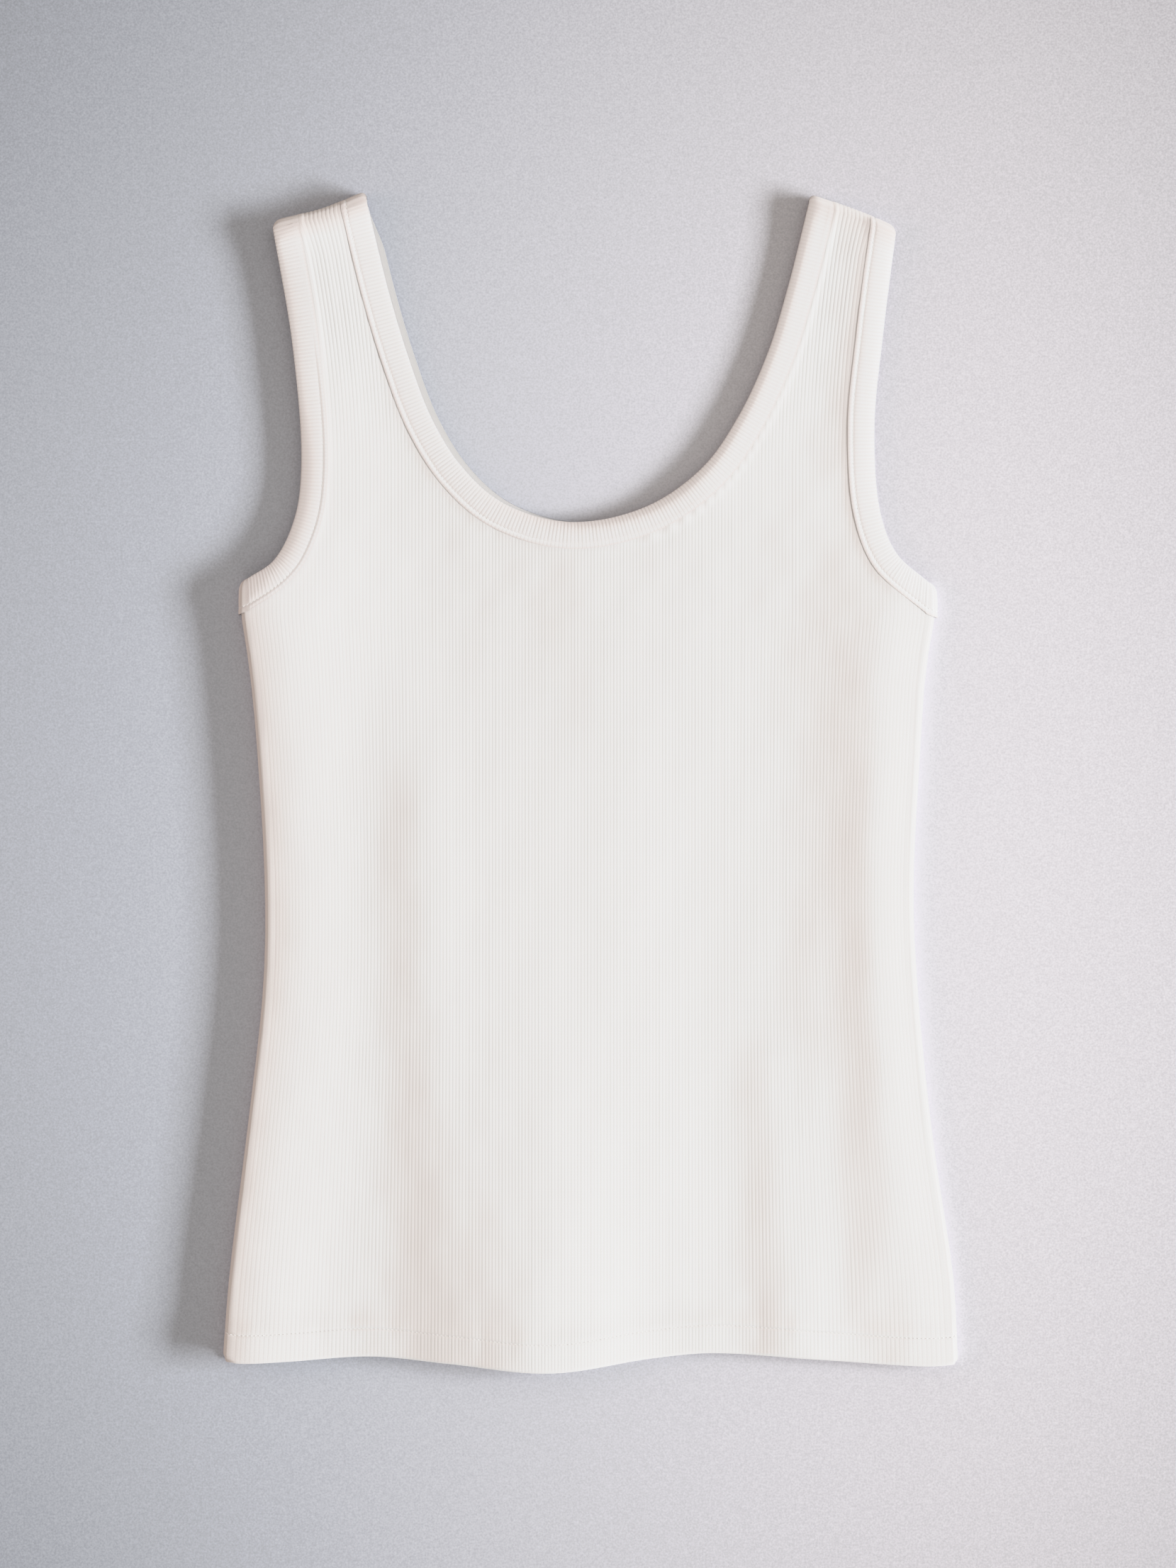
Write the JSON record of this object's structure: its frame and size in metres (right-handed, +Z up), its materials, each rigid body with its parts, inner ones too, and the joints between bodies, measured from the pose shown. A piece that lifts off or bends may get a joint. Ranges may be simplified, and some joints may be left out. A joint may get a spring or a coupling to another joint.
{
  "type": "tank top",
  "caption": "Ribbed knit tank top lying flat, face up, with a deep scoop neck, wide straps, bound neck and armholes, and a gently flared, turned-up hem.",
  "frame": {"origin": "on the surface the garment lies on, under the middle of its outline", "axes": "+Y towards the shoulders, +X towards the wearer's left side, +Z up out of the front"},
  "size_m": [0.4193, 0.673, 0.0107],
  "materials": {
    "body_knit": "matt cotton rib knit, off-white",
    "binding_knit": "matt cotton rib knit, off-white, folded over the edge and stitched"
  },
  "bodies": {
    "root": {"front_panel": "body_knit", "back_panel": "body_knit", "neck_binding": "binding_knit", "right_armhole_binding": "binding_knit", "left_armhole_binding": "binding_knit"}
  },
  "joints": []
}
